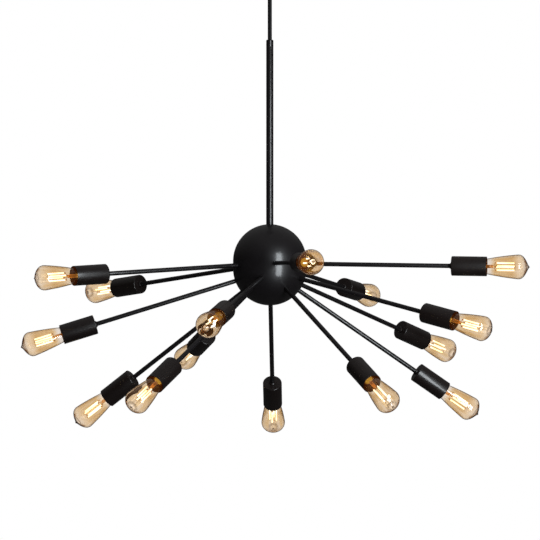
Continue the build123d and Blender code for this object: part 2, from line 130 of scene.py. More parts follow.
# Inside of the bulbs
FLARE_GAP = 0.1
FLARE_RIM = NECK_FOOT + 3
FLARE_RIM_PULL = (7, NECK_FOOT + 3.4)
FLARE_TOP = -6
FLARE_TOP_PULL = FLARE_TOP - 4
PINCH_R = 3.4
PINCH_TOP = 13
PINCH_SHOULDER = (PINCH_R * 0.9, PINCH_TOP - 1.2)
PINCH_CROWN = (PINCH_R * 0.7, PINCH_TOP - 0.2)
FILAMENT_AT = 17
FILAMENT_LEN = 37
FILAMENT_D = 2.6
FILAMENT_CIRCLE_D = 14
FILAMENT_COUNT = 4
TAB_LEN = 2.6
TAB_LAP = 0.26              # how far a tab reaches into its filament stick
TAB_D = 1.9
POST_D = 1.1
POST_FOOT = PINCH_TOP - 3
POST_END = FILAMENT_AT + FILAMENT_LEN + 1.5
WIRE_D = 0.7
LOWER_WIRES_AT = FILAMENT_AT - TAB_LEN
UPPER_WIRES_AT = POST_END - 0.5
BULB_CLOCKING = 12          # degrees that the filaments are turned from level

# Fineness of turned meshes, and the distance within which their seams are joined
ROUND_FINE = 64
ROUND_CAP = 48
ROUND_PLAIN = 40
ROUND_WIRE = 10
SEAM = 1e-6

# Domed end of a rod: (radius, station) as shares of half its thickness
ROD_DOME = ((0, 0), (0.7, 0.12), (1, 0.5))


# Outlines

def curve(*points, steps=12):
    """Points along a Bezier curve, without its first point."""
    places = []
    for step in range(1, steps + 1):
        share = step / steps
        row = [Vector(point) for point in points]
        while len(row) > 1:
            row = [a.lerp(b, share) for a, b in zip(row, row[1:])]
        places.append(tuple(row[0]))
    return places


def soft_corners(corners, steps=4):
    """A closed outline whose corners, given as (radius, station, rounding), are rounded off."""
    places = []
    count = len(corners)
    for index, (across, along, rounding) in enumerate(corners):
        corner = Vector((across, along))
        if rounding == 0:
            places.append(tuple(corner))
            continue
        before = Vector(corners[index - 1][:2]) - corner
        after = Vector(corners[(index + 1) % count][:2]) - corner
        half = before.angle(after) / 2
        back = rounding / tan(half)
        start = corner + before.normalized() * back
        end = corner + after.normalized() * back
        middle = corner + (before.normalized() + after.normalized()).normalized() * (rounding / sin(half))
        for step in range(steps + 1):
            spoke = (start - middle).slerp(end - middle, step / steps)
            places.append(tuple(middle + spoke * rounding))
    return places


# Meshes

def arm_matrix(joint, turn=0.0):
    """Place of one arm's pieces: origin at the sleeve's mouth, Z outwards along the arm."""
    outward = Vector(joint["axis"]).normalized()
    level = Vector((0, 0, 1)).cross(outward).normalized()
    rise = outward.cross(level)
    basis = Matrix((level, rise, outward)).transposed().to_4x4()
    return Matrix.Translation(Vector(joint["pos_m"])) @ basis @ Matrix.Rotation(radians(turn), 4, "Z")


def spin(bm, outline, place=Matrix.Identity(4), rounds=ROUND_PLAIN, closed=False, slot=0, swell=None):
    """Turn an outline of (radius, station) points about Z into faces. A point on the axis is one vertex.
    Where a swell is given, it adds to the radius at a station and angle."""
    rings = []
    for across, along in outline:
        if across == 0:
            rings.append([bm.verts.new(place @ Vector((0, 0, along * MM)))])
            continue
        ring = []
        for index in range(rounds):
            angle = 2 * pi * index / rounds
            reach = across + (swell(along, angle) if swell else 0)
            spot = Vector((reach * cos(angle) * MM, reach * sin(angle) * MM, along * MM))
            ring.append(bm.verts.new(place @ spot))
        rings.append(ring)
    pairs = list(zip(rings, rings[1:]))
    if closed:
        pairs.append((rings[-1], rings[0]))
    for lower, upper in pairs:
        for index in range(rounds):
            following = (index + 1) % rounds
            corners = [lower[index % len(lower)], lower[following % len(lower)]]
            corners += [upper[following % len(upper)], upper[index % len(upper)]]
            distinct = list(dict.fromkeys(corners))
            if len(distinct) > 2:
                bm.faces.new(distinct).material_index = slot


def rod(bm, start, end, thickness, slot):
    """A round rod with domed ends between two points, given in millimetres."""
    start = Vector(start)
    along = Vector(end) - start
    seat = Matrix.Translation(start * MM) @ along.to_track_quat("Z", "Y").to_matrix().to_4x4()
    half = thickness / 2
    dome = [(half * across, half * rise) for across, rise in ROD_DOME]
    far_dome = [(across, along.length - rise) for across, rise in reversed(dome)]
    spin(bm, dome + far_dome, seat, ROUND_WIRE, slot=slot)


def join_seams(bm):
    """Join the stretches of an outline that were turned one by one."""
    bmesh.ops.remove_doubles(bm, verts=bm.verts, dist=SEAM)


def to_mesh(bm, name, *materials, sharp=35):
    """Finish a mesh: outward faces, smooth shading with crisp edges, and its materials."""
    bmesh.ops.recalc_face_normals(bm, faces=bm.faces)
    mesh = bpy.data.meshes.new(name)
    bm.to_mesh(mesh)
    bm.free()
    for finish in materials:
        mesh.materials.append(finish)
    mesh.polygons.foreach_set("use_smooth", [True] * len(mesh.polygons))
    mesh.set_sharp_from_angle(angle=radians(sharp))
    return mesh


def set_piece(name, shape, body, node, place=Matrix.Identity(4)):
    """Put a finished piece in the scene on its body, in place of its CAD node."""
    piece = bpy.data.objects.new(name, shape)
    bpy.context.scene.collection.objects.link(piece)
    piece.matrix_world = place
    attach(piece, body)
    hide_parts(node)
    return piece


# Shader nodes

def feed(tree, value, socket):
    """Link an output to a socket, or set the socket to a constant; a colour is three numbers."""
    if isinstance(value, bpy.types.NodeSocket):
        tree.links.new(value, socket)
    elif socket.type == "RGBA":
        socket.default_value = (*value, 1)
    else:
        socket.default_value = value


def object_place(tree):
    """Coordinates on the piece, in metres."""
    return tree.nodes.new("ShaderNodeTexCoord").outputs["Object"]


def stretched(tree, place, factors):
    """Coordinates multiplied axis by axis, which draws a noise out along the small factors."""
    product = tree.nodes.new("ShaderNodeVectorMath")
    product.operation = "MULTIPLY"
    tree.links.new(place, product.inputs[0])
    product.inputs[1].default_value = factors
    return product.outputs["Vector"]


def noise(tree, place, scale, detail, roughness=0.5):
    """A cloudy mask over the surface."""
    cloud = tree.nodes.new("ShaderNodeTexNoise")
    feed(tree, place, cloud.inputs["Vector"])
    feed(tree, scale, cloud.inputs["Scale"])
    cloud.inputs["Detail"].default_value = detail
    cloud.inputs["Roughness"].default_value = roughness
    return cloud.outputs["Fac"]


def spread(tree, mask, given, wanted):
    """Map a mask from the given range to the wanted one."""
    span = tree.nodes.new("ShaderNodeMapRange")
    feed(tree, mask, span.inputs["Value"])
    for socket, value in zip(("From Min", "From Max", "To Min", "To Max"), (*given, *wanted)):
        feed(tree, value, span.inputs[socket])
    return span.outputs["Result"]


def maths(tree, operation, first, second, clamp=False):
    """Work out one value from two numbers or masks."""
    result = tree.nodes.new("ShaderNodeMath")
    result.operation = operation
    result.use_clamp = clamp
    feed(tree, first, result.inputs[0])
    feed(tree, second, result.inputs[1])
    return result.outputs["Value"]


def blend(tree, mask, below, above, kind="RGBA"):
    """Mix two colours, or two numbers where the kind is FLOAT, by a mask."""
    mix = tree.nodes.new("ShaderNodeMix")
    mix.data_type = kind
    feed(tree, mask, mix.inputs["Factor"])
    feed(tree, below, mix.inputs["A"])
    feed(tree, above, mix.inputs["B"])
    return mix.outputs["Result"]


def mix_shaders(tree, mask, below, above):
    """Mix two shaders by a mask."""
    mix = tree.nodes.new("ShaderNodeMixShader")
    tree.links.new(mask, mix.inputs["Fac"])
    tree.links.new(below, mix.inputs[1])
    tree.links.new(above, mix.inputs[2])
    return mix.outputs["Shader"]


def relief(tree, shader, height, strength, distance):
    """Bump the shader's surface by a height."""
    bump = tree.nodes.new("ShaderNodeBump")
    bump.inputs["Strength"].default_value = strength
    bump.inputs["Distance"].default_value = distance
    tree.links.new(height, bump.inputs["Height"])
    tree.links.new(bump.outputs["Normal"], shader.inputs["Normal"])


# Shared surface effects

SKIN_OUTPUTS = (("Color", "NodeSocketColor"), ("Roughness", "NodeSocketFloat"), ("Height", "NodeSocketFloat"))
NOISE_RANGE = (0.3, 0.7)
SKIN_RELIEF = 0.0002


def new_group(name, inputs):
    """An empty node group with its sockets: inputs are (name, kind, value)."""
    group = bpy.data.node_groups.new(name, "ShaderNodeTree")
    for socket_name, kind, value in inputs:
        socket = group.interface.new_socket(socket_name, in_out="INPUT", socket_type=kind)
        socket.default_value = value
    for socket_name, kind in SKIN_OUTPUTS:
        group.interface.new_socket(socket_name, in_out="OUTPUT", socket_type=kind)
    given = group.nodes.new("NodeGroupInput").outputs
    made = group.nodes.new("NodeGroupOutput").inputs
    return group, given, made


def coating_group():
    """Sprayed or moulded skin: fine grain, slow drift of tone and polish."""
    group, given, made = new_group("coating", [
        ("Deep", "NodeSocketColor", (0, 0, 0, 1)),
        ("Pale", "NodeSocketColor", (1, 1, 1, 1)),
        ("Grain Scale", "NodeSocketFloat", 1500),
        ("Drift Scale", "NodeSocketFloat", 30),
        ("Polished", "NodeSocketFloat", 0.3),
        ("Dull", "NodeSocketFloat", 0.5),
    ])
    place = object_place(group)
    grain = noise(group, place, given["Grain Scale"], detail=3)
    drift = noise(group, place, given["Drift Scale"], detail=5, roughness=0.6)
    feed(group, blend(group, drift, given["Deep"], given["Pale"]), made["Color"])
    feed(group, spread(group, drift, NOISE_RANGE, (given["Polished"], given["Dull"])), made["Roughness"])
    feed(group, grain, made["Height"])
    return group


def turning_group():
    """Turned or rolled metal: fine lines round the axis, with a slow tarnish."""
    group, given, made = new_group("turning", [
        ("Bright", "NodeSocketColor", (1, 1, 1, 1)),
        ("Tarnish", "NodeSocketColor", (0, 0, 0, 1)),
        ("Line Scale", "NodeSocketFloat", 3000),
        ("Polished", "NodeSocketFloat", 0.2),
        ("Dull", "NodeSocketFloat", 0.4),
    ])
    place = object_place(group)
    round_axis = stretched(group, place, factors=(0.02, 0.02, 1))
    lines = noise(group, round_axis, given["Line Scale"], detail=2)
    stain = noise(group, place, scale=140, detail=6)
    feed(group, blend(group, stain, given["Bright"], given["Tarnish"]), made["Color"])
    feed(group, spread(group, lines, NOISE_RANGE, (given["Polished"], given["Dull"])), made["Roughness"])
    feed(group, lines, made["Height"])
    return group


COATING = coating_group()
TURNING = turning_group()


# Materials

def new_material(name, settings):
    """A material with its tree and its Principled shader, set to constants."""
    finish = bpy.data.materials.new(name)
    finish.use_nodes = True
    tree = finish.node_tree
    shader = tree.nodes["Principled BSDF"]
    for socket, value in settings.items():
        feed(tree, value, shader.inputs[socket])
    return finish, tree, shader


def skin(tree, shader, group, bump, values):
    """Place a shared effect in a material and feed its colour, roughness and bump to the shader."""
    effect = tree.nodes.new("ShaderNodeGroup")
    effect.node_tree = group
    for socket, value in values.items():
        feed(tree, value, effect.inputs[socket])
    tree.links.new(effect.outputs["Color"], shader.inputs["Base Color"])
    tree.links.new(effect.outputs["Roughness"], shader.inputs["Roughness"])
    relief(tree, shader, effect.outputs["Height"], bump, SKIN_RELIEF)


def stations(tree):
    """Station along a bulb's axis, in metres from the sleeve's mouth."""
    split = tree.nodes.new("ShaderNodeSeparateXYZ")
    tree.links.new(object_place(tree), split.inputs["Vector"])
    return split.outputs["Z"]


def station_ramp(tree, along, stops):
    """Colours at stations along a bulb's axis, in millimetres from the sleeve's mouth."""
    first = stops[0][0]
    last = stops[-1][0]
    ramp = tree.nodes.new("ShaderNodeValToRGB")
    elements = ramp.color_ramp.elements
    for station, colour in stops[1:-1]:
        elements.new((station - first) / (last - first)).color = (*colour, 1)
    elements[0].color = (*stops[0][1], 1)
    elements[-1].color = (*stops[-1][1], 1)
    tree.links.new(spread(tree, along, (first * MM, last * MM), (0, 1)), ramp.inputs["Fac"])
    return ramp.outputs["Color"]


def satin_black(name, deep, pale):
    """Sprayed satin black on metal: a dull coat of paint under a thin glossier skin."""
    finish, tree, shader = new_material(name, {
        "Specular IOR Level": 0.24,
        "Coat Weight": 0.34,
        "Coat Roughness": 0.15,
    })
    skin(tree, shader, COATING, bump=0.015, values={
        "Deep": deep,
        "Pale": pale,
        "Grain Scale": 1600,
        "Drift Scale": 24,
        "Polished": 0.38,
        "Dull": 0.48,
    })
    return finish


def black_plastic():
    """Moulded matte black plastic of the cord grip and the lampholders' bodies."""
    finish, tree, shader = new_material("black_plastic", {"Specular IOR Level": 0.4})
    skin(tree, shader, COATING, bump=0.2, values={
        "Deep": (0.010, 0.010, 0.010),
        "Pale": (0.017, 0.017, 0.017),
        "Grain Scale": 2200,
        "Drift Scale": 60,
        "Polished": 0.5,
        "Dull": 0.62,
    })
    return finish


def white_plastic():
    """Moulded white plastic of the terminal block and the connector."""
    finish, tree, shader = new_material("white_plastic", {})
    skin(tree, shader, COATING, bump=0.15, values={
        "Deep": (0.70, 0.69, 0.65),
        "Pale": (0.78, 0.77, 0.74),
        "Grain Scale": 1800,
        "Drift Scale": 80,
        "Polished": 0.42,
        "Dull": 0.55,
    })
    return finish


def cable_sheath():
    """Matte black sheath of the cable and the leads."""
    finish, tree, shader = new_material("cable_sheath", {"Specular IOR Level": 0.12})
    skin(tree, shader, COATING, bump=0.1, values={
        "Deep": (0.0022, 0.0017, 0.0019),
        "Pale": (0.0038, 0.0031, 0.0034),
        "Grain Scale": 2600,
        "Drift Scale": 90,
        "Polished": 0.42,
        "Dull": 0.55,
    })
    return finish


def zinc_steel():
    """Zinc-plated steel of the bracket, nuts, ferrule, bridge and the bulbs' contacts."""
    finish, tree, shader = new_material("zinc_steel", {"Metallic": 1})
    skin(tree, shader, TURNING, bump=0.08, values={
        "Bright": (0.62, 0.62, 0.64),
        "Tarnish": (0.46, 0.46, 0.47),
        "Line Scale": 2500,
        "Polished": 0.28,
        "Dull": 0.42,
    })
    return finish


def cap_brass():
    """Rolled brass of the bulbs' screw caps."""
    finish, tree, shader = new_material("cap_brass", {"Metallic": 1})
    skin(tree, shader, TURNING, bump=0.06, values={
        "Bright": (0.80, 0.60, 0.28),
        "Tarnish": (0.60, 0.42, 0.18),
        "Line Scale": 3500,
        "Polished": 0.2,
        "Dull": 0.34,
    })
    return finish


def filament_wire():
    """Bronzed wire and tabs that carry the filaments, warm in their light."""
    finish, tree, shader = new_material("filament_wire", {
        "Metallic": 1,
        "Emission Color": (0.22, 0.07, 0.008),
        "Emission Strength": 1,
    })
    skin(tree, shader, TURNING, bump=0.05, values={
        "Bright": (0.50, 0.28, 0.11),
        "Tarnish": (0.32, 0.17, 0.06),
        "Line Scale": 5000,
        "Polished": 0.3,
        "Dull": 0.5,
    })
    return finish


def amber_glass():
    """Thin blown glass, lit from inside: amber body, pale neck and crown, with painted pale reflection
    streaks, painted dark reflections as rings round the tip's foot, and a painted glow from the filaments.
    """
    finish, tree, shader = new_material("amber_glass", {
        "Roughness": 0.01,
        "IOR": 1.48,
        "Transmission Weight": 1,
        "Emission Strength": 1,
    })
    along = stations(tree)
    tint = station_ramp(tree, along, [
        (-5, (0.92, 0.88, 0.84)),
        (6, (0.92, 0.87, 0.82)),
        (16, (0.81, 0.64, 0.405)),
        (50, (0.81, 0.64, 0.415)),
        (62, (0.91, 0.79, 0.635)),
        (73, (0.91, 0.80, 0.655)),
        (81, (0.93, 0.86, 0.80)),
    ])
    # Painted reflection: pale streaks along the axis stand in for long reflections of the studio lights on
    # the glass
    streak_place = stretched(tree, object_place(tree), factors=(1, 1, 0.03))
    painted_reflection_streaks = noise(tree, streak_place, scale=170, detail=1)
    thin = spread(tree, painted_reflection_streaks, given=(0.46, 0.64), wanted=(0, 0.5))
    with_painted_streaks = blend(tree, thin, tint, (0.95, 0.90, 0.84))
    # Painted shade: a dark band round the crown stands in for dark internal reflections in the glass, painted
    # only where the glass is seen aslant
    crown_painted_dark_reflection = station_ramp(tree, along, [
        (72, (0, 0, 0)),
        (73.6, (1, 1, 1)),
        (76.6, (1, 1, 1)),
        (78.2, (0, 0, 0)),
    ])
    facing = tree.nodes.new("ShaderNodeLayerWeight").outputs["Facing"]
    aslant = spread(tree, facing, given=(0.38, 0.62), wanted=(0, 1))
    crown_dark_reflection_aslant = blend(tree, aslant, (0, 0, 0), crown_painted_dark_reflection)
    with_painted_dark_reflection = blend(tree, crown_dark_reflection_aslant, with_painted_streaks, (0.21, 0.085, 0.03))
    # Painted shade: a dark band at the tip's foot stands in for dark internal reflections there
    tip_painted_dark_reflection = station_ramp(tree, along, [
        (77.0, (0, 0, 0)),
        (77.8, (0.6, 0.6, 0.6)),
        (78.6, (0.6, 0.6, 0.6)),
        (79.4, (0, 0, 0)),
    ])
    feed(tree, blend(tree, tip_painted_dark_reflection, with_painted_dark_reflection, (0.20, 0.15, 0.11)), shader.inputs["Base Color"])
    # Painted glow: emission on the glass stands in for the filaments' light inside it, strongest along the
    # filaments
    painted_filament_glow = station_ramp(tree, along, [
        (1, (0, 0, 0)),
        (14, (0.016, 0.0065, 0.001)),
        (42, (0.016, 0.0065, 0.001)),
        (66, (0.010, 0.004, 0.001)),
        (76, (0.003, 0.001, 0)),
    ])
    feed(tree, painted_filament_glow, shader.inputs["Emission Color"])
    return finish


def pinch_glass():
    """Pinched stem's glass, browned by the wires inside it, with a painted warm glow standing in for the
    filaments' light.
    """
    finish, tree, shader = new_material("pinch_glass", {
        "Base Color": (0.60, 0.34, 0.16),
        "Roughness": 0.08,
        "IOR": 1.5,
        "Transmission Weight": 1,
        # Painted glow standing in for the filaments' light
        "Emission Color": (0.11, 0.045, 0.008),
        "Emission Strength": 1,
    })
    waves = noise(tree, object_place(tree), scale=150, detail=2)
    relief(tree, shader, waves, strength=0.05, distance=0.0005)
    return finish


def lit_flare():
    """Flared foot of the pinched stem, with a painted golden glow from the filaments above it that fades to
    painted brown shade at its rim.
    """
    finish, tree, shader = new_material("lit_flare", {"Specular IOR Level": 0.4, "Emission Strength": 1})
    skin(tree, shader, COATING, bump=0.1, values={
        "Deep": (0.10, 0.05, 0.012),
        "Pale": (0.18, 0.09, 0.02),
        "Grain Scale": 500,
        "Drift Scale": 160,
        "Polished": 0.3,
        "Dull": 0.5,
    })
    # Painted light: emission that is golden where the filaments light the flare and dark at its rim, where
    # their light doesn't reach
    painted_golden_glow = station_ramp(tree, stations(tree), [
        (-14.2, (0.05, 0.010, 0.001)),
        (-13.3, (0.09, 0.022, 0.002)),
        (-12.7, (0.48, 0.25, 0.03)),
        (-6, (0.52, 0.29, 0.04)),
    ])
    feed(tree, painted_golden_glow, shader.inputs["Emission Color"])
    return finish


def lit_filament():
    """Glowing phosphor on the filament sticks, beaded along its length."""
    finish, tree, shader = new_material("lit_filament", {
        "Base Color": (0.9, 0.7, 0.3),
        "Roughness": 0.6,
        "Emission Strength": 2.6,
    })
    beads = tree.nodes.new("ShaderNodeTexWave")
    beads.bands_direction = "Z"
    beads.inputs["Scale"].default_value = 160
    feed(tree, object_place(tree), beads.inputs["Vector"])
    glow = blend(tree, beads.outputs["Fac"], (1, 0.9, 0.66), (1, 0.97, 0.84))
    feed(tree, glow, shader.inputs["Emission Color"])
    return finish


def lit_post():
    """Thin post between the filaments, pale in their light."""
    finish, tree, shader = new_material("lit_post", {
        "Emission Color": (0.66, 0.46, 0.18),
        "Emission Strength": 1,
    })
    skin(tree, shader, COATING, bump=0.05, values={
        "Deep": (0.60, 0.42, 0.20),
        "Pale": (0.74, 0.56, 0.30),
        "Grain Scale": 1200,
        "Drift Scale": 200,
        "Polished": 0.2,
        "Dull": 0.3,
    })
    return finish


def lit_inside():
    """Inside of a sleeve and rim of a lampholder, with a painted warm glow standing in for the bulb's light
    on them.
    """
    finish, tree, shader = new_material("lit_inside", {
        "Specular IOR Level": 0.4,
        # Painted glow from the bulb's light
        "Emission Color": (0.030, 0.0065, 0.001),
        "Emission Strength": 1,
    })
    skin(tree, shader, COATING, bump=0.15, values={
        "Deep": (0.018, 0.010, 0.005),
        "Pale": (0.030, 0.017, 0.008),
        "Grain Scale": 1600,
        "Drift Scale": 60,
        "Polished": 0.35,
        "Dull": 0.5,
    })
    return finish


def dark_insulator():
    """Black glass between the screw cap and its contact."""
    finish, tree, shader = new_material("dark_insulator", {})
    skin(tree, shader, COATING, bump=0.1, values={
        "Deep": (0.012, 0.010, 0.014),
        "Pale": (0.030, 0.026, 0.034),
        "Grain Scale": 900,
        "Drift Scale": 300,
        "Polished": 0.12,
        "Dull": 0.3,
    })
    return finish


BLACK = satin_black("satin_black", deep=(0.0026, 0.0019, 0.0023), pale=(0.0042, 0.0033, 0.0038))
# A warmer copy of the satin black for the sleeves and collars: its warm tint is painted light, standing in
# for the bulbs' warm light on them
SLEEVE_BLACK_BULB_WARMED = satin_black("sleeve_black", deep=(0.0036, 0.0019, 0.0016), pale=(0.0058, 0.0033, 0.0028))
PLASTIC = black_plastic()
WHITE = white_plastic()
SHEATH = cable_sheath()
ZINC = zinc_steel()
BRASS = cap_brass()
WIRE = filament_wire()
AMBER = amber_glass()
PINCH = pinch_glass()
FLARE = lit_flare()
FILAMENT = lit_filament()
POST = lit_post()
BULB_LIT_INSIDE = lit_inside()
INSULATOR = dark_insulator()


# Pieces of one arm, with Z along it from its sleeve's mouth

def arm_tube(bm, place):
    """Straight tube from inside the ball into the lampholder."""
    outer = ARM_D / 2
    inner = outer - ARM_WALL
    outline = soft_corners([
        (outer, ARM_START, ARM_EDGE),
        (outer, ARM_END, ARM_EDGE),
        (inner, ARM_END, 0),
        (inner, ARM_START, 0),
    ])
    spin(bm, outline, place, closed=True)


def collar(bm, place):
    """Small ring behind the sleeve, chamfered towards the ball."""
    outer = COLLAR_D / 2
    bore = ARM_D / 2 + CLOSE_GAP
    front = -SLEEVE_LEN
    back = front - COLLAR_LEN
    outline = soft_corners([
        (bore, front, 0),
        (outer, front, 0),
        (outer, back + COLLAR_CHAMFER, COLLAR_EDGE),
        (outer - COLLAR_CHAMFER, back, COLLAR_NOSE_EDGE),
        (bore, back, 0),
    ])
    spin(bm, outline, place, closed=True)


def sleeve(bm, place):
    """A drawn cup: the outside is painted, the inside is lit by the bulb."""
    outer = SLEEVE_D / 2
    inner = outer - SLEEVE_WALL
    bore = ARM_D / 2 + SLIP_GAP
    back = -SLEEVE_LEN
    outside = soft_corners([
        (bore, back, 0),
        (outer, back, SLEEVE_EDGE),
        (outer, 0, SLEEVE_LIP),
        (inner, 0, SLEEVE_LIP),
    ], steps=6)
    spin(bm, outside, place, ROUND_FINE)
    inside = [(inner, -SLEEVE_LIP), (inner, HOLDER_RIM), (inner, back + SLEEVE_WALL)]
    inside += [(bore, back + SLEEVE_WALL), (bore, back)]
    spin(bm, inside, place, ROUND_FINE, slot=1)
    join_seams(bm)


def lampholder(bm, place):
    """Body with a stepped rim round its socket, lit where it faces the bulb."""
    outer = HOLDER_D / 2
    ring = HOLDER_RING_D / 2
    socket = SOCKET_D / 2
    bore = ARM_D / 2 + CLOSE_GAP
    body = soft_corners([
        (socket, SOCKET_FLOOR, 0),
        (bore, SOCKET_FLOOR, 0),
        (bore, HOLDER_BACK, 0),
        (outer, HOLDER_BACK, HOLDER_EDGE),
        (outer, HOLDER_LIT_TO, 0),
    ])
    spin(bm, body, place)
    rim = soft_corners([
        (outer, HOLDER_LIT_TO, 0),
        (outer, HOLDER_STEP, HOLDER_STEP_EDGE),
        (ring, HOLDER_STEP, HOLDER_STEP_EDGE),
        (ring, HOLDER_RIM, HOLDER_RING_EDGE),
        (socket, HOLDER_RIM, HOLDER_RING_EDGE),
        (socket, SOCKET_FLOOR, 0),
    ])
    spin(bm, rim, place, slot=1)
    join_seams(bm)


# Pieces of one bulb, with Z along its arm from the sleeve's mouth

def envelope_line(inset, tip):
    """One face of the envelope's wall, from its neck to a point at its tip."""
    line = [(NECK_R - inset, NECK_FOOT), (NECK_R - inset, CAP_RIM)]
    line += curve(line[-1], (SIDE_PULL[0] - inset, SIDE_PULL[1]), (BELLY[0] - inset, BELLY[1]), steps=18)
    shoulder_pull = (SHOULDER_PULL[0] - inset, SHOULDER_PULL[1] - inset / 2)
    crown_pull = (CROWN_PULL[0] - inset / 2, CROWN_PULL[1] - inset)
    tip_foot = (TIP_FOOT[0] - inset / 2, TIP_FOOT[1] - inset)
    line += curve(line[-1], shoulder_pull, crown_pull, tip_foot, steps=18)
    line += curve(tip_foot, (TIP_PULL[0], TIP_PULL[1] - inset), (0, tip), steps=8)
    return line


def bulb_envelope():
    """Blown envelope with its drawn tip."""
    outside = envelope_line(0, TIP_END)
    inside = envelope_line(GLASS_WALL, TIP_END - TIP_SOLID)
    bm = bmesh.new()
    for line in (outside, inside[::-1], [outside[0], inside[0]]):
        spin(bm, line, rounds=ROUND_FINE)
    join_seams(bm)
    return to_mesh(bm, "bulb_envelope", AMBER, sharp=50)


def bulb_inside():
    """Pinched stem on its flare, post, wires and lit filament sticks with their metal tabs."""
    finishes = [PINCH, WIRE, FILAMENT, FLARE, POST]
    wire = finishes.index(WIRE)
    bm = bmesh.new()
    flare_r = NECK_R - GLASS_WALL - FLARE_GAP
    flare = [(0, NECK_FOOT), (flare_r, NECK_FOOT), (flare_r, FLARE_RIM)]
    flare += curve(flare[-1], FLARE_RIM_PULL, (PINCH_R, FLARE_TOP_PULL), (PINCH_R, FLARE_TOP), steps=10)
    flare += [(0, FLARE_TOP)]
    spin(bm, flare, slot=finishes.index(FLARE))
    pinch_foot = FLARE_TOP + CLOSE_GAP
    pinch = [(0, pinch_foot), (PINCH_R, pinch_foot), PINCH_SHOULDER, PINCH_CROWN, (0, PINCH_TOP)]
    spin(bm, pinch, slot=finishes.index(PINCH))
    rod(bm, (0, 0, POST_FOOT), (0, 0, POST_END), POST_D, finishes.index(POST))
    circle = FILAMENT_CIRCLE_D / 2
    tab = Vector((0, 0, TAB_LEN))
    lap = Vector((0, 0, TAB_LAP))
    for index in range(FILAMENT_COUNT):
        angle = 2 * pi * index / FILAMENT_COUNT
        foot = Vector((circle * cos(angle), circle * sin(angle), FILAMENT_AT))
        head = foot + Vector((0, 0, FILAMENT_LEN))
        rod(bm, foot + tab, head, FILAMENT_D, finishes.index(FILAMENT))
        rod(bm, foot - tab / 2, foot + tab + lap, TAB_D, wire)
        rod(bm, head - lap, head + tab / 2, TAB_D, wire)
        rod(bm, (0, 0, LOWER_WIRES_AT), foot - tab / 4, WIRE_D, wire)
        rod(bm, (0, 0, UPPER_WIRES_AT), head + tab / 4, WIRE_D, wire)
    return to_mesh(bm, "bulb_inside", *finishes, sharp=50)


def thread_depth(along, angle):
    """How far the cap's rolled thread lies below its crest, fading out at both ends."""
    from_top = (THREAD_TOP - along) / THREAD_FADE
    from_foot = (along - THREAD_FOOT) / THREAD_FADE
    fade = min(1, max(0, from_top)) * min(1, max(0, from_foot))
    wave = 0.5 + 0.5 * cos(2 * pi * along / THREAD_PITCH - angle)
    return (CAP_ROOT_D - CAP_D) / 2 * fade * wave


def bulb_cap():
    """Rolled screw cap with its insulator and contact."""
    crest = CAP_D / 2
    inner = crest - CAP_WALL
    foot = (CAP_FOOT_D / 2, CAP_FOOT)
    contact_r = CONTACT_D / 2
    shell = [(inner, CAP_RIM), (crest - CAP_EDGE / 2, CAP_RIM), (crest, CAP_RIM - CAP_EDGE)]
    for row in range(1, THREAD_ROWS + 1):
        shell.append((crest, SIDE_TOP + (SIDE_FOOT - SIDE_TOP) * row / THREAD_ROWS))
    shell.append(foot)
    contact = [(contact_r, INSULATOR_FOOT), (contact_r, INSULATOR_FOOT - CONTACT_EDGE)]
    contact += curve(contact[-1], (contact_r, CONTACT_END), (0, CONTACT_END), steps=6)
    bm = bmesh.new()
    spin(bm, shell, rounds=ROUND_CAP, swell=thread_depth)
    spin(bm, [(inner, CAP_RIM), (inner, NECK_FOOT)], rounds=ROUND_CAP)
    spin(bm, [foot, (contact_r, INSULATOR_FOOT)], rounds=ROUND_CAP, slot=1)
    spin(bm, contact, rounds=ROUND_CAP, slot=2)
    join_seams(bm)
    return to_mesh(bm, "bulb_cap", BRASS, INSULATOR, ZINC, sharp=40)


# Arms, sleeves, lampholders and bulbs

bulb_joints = [joint for joint in frame["joints"] if "_bulb_" in joint["name"]]
tier_names = list(dict.fromkeys(joint["name"].split("_bulb_")[0] for joint in bulb_joints))

for tier in tier_names:
    places = [arm_matrix(joint) for joint in bulb_joints if joint["name"].startswith(tier)]
    for name, make, finishes, slot in (
        ("arms", arm_tube, (BLACK,), "black_metal"),
        ("sleeves", sleeve, (SLEEVE_BLACK_BULB_WARMED, BULB_LIT_INSIDE), "black_metal"),
        ("lampholders", lampholder, (PLASTIC, BULB_LIT_INSIDE), "black_plastic"),
    ):
        bm = bmesh.new()
        for place in places:
            make(bm, place)
        node = f"{tier}_{name}"
        set_piece(f"{node}_turned", to_mesh(bm, node, *finishes), "lamp", node)

bm = bmesh.new()
for joint in bulb_joints:
    collar(bm, arm_matrix(joint))
set_piece("collars_turned", to_mesh(bm, "collars", SLEEVE_BLACK_BULB_WARMED), "lamp", "sleeve_collars")

envelope_mesh = bulb_envelope()
inside_mesh = bulb_inside()
cap_mesh = bulb_cap()
for joint in bulb_joints:
    body = joint["child"]
    place = arm_matrix(joint, BULB_CLOCKING)
    set_piece(f"{body}_envelope", envelope_mesh, body, f"{body}_glass", place)
    set_piece(f"{body}_filaments", inside_mesh, body, f"{body}_cap", place)
    set_piece(f"{body}_screw_cap", cap_mesh, body, f"{body}_cap", place)


# Stem

stem_low, stem_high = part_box("stem_tube")
stem_foot = stem_low.z / MM
stem_top = stem_high.z / MM
bm = bmesh.new()
spin(bm, soft_corners([
    (STEM_D / 2, stem_foot, STEM_EDGE),
    (STEM_D / 2, stem_top, STEM_EDGE),
    (STEM_D / 2 - STEM_WALL, stem_top, 0),
    (STEM_D / 2 - STEM_WALL, stem_foot, 0),
]), rounds=ROUND_FINE, closed=True)
set_piece("stem_tube_drawn", to_mesh(bm, "stem_tube_drawn", BLACK), "lamp", "stem_tube")


# CAD pieces that keep their shape

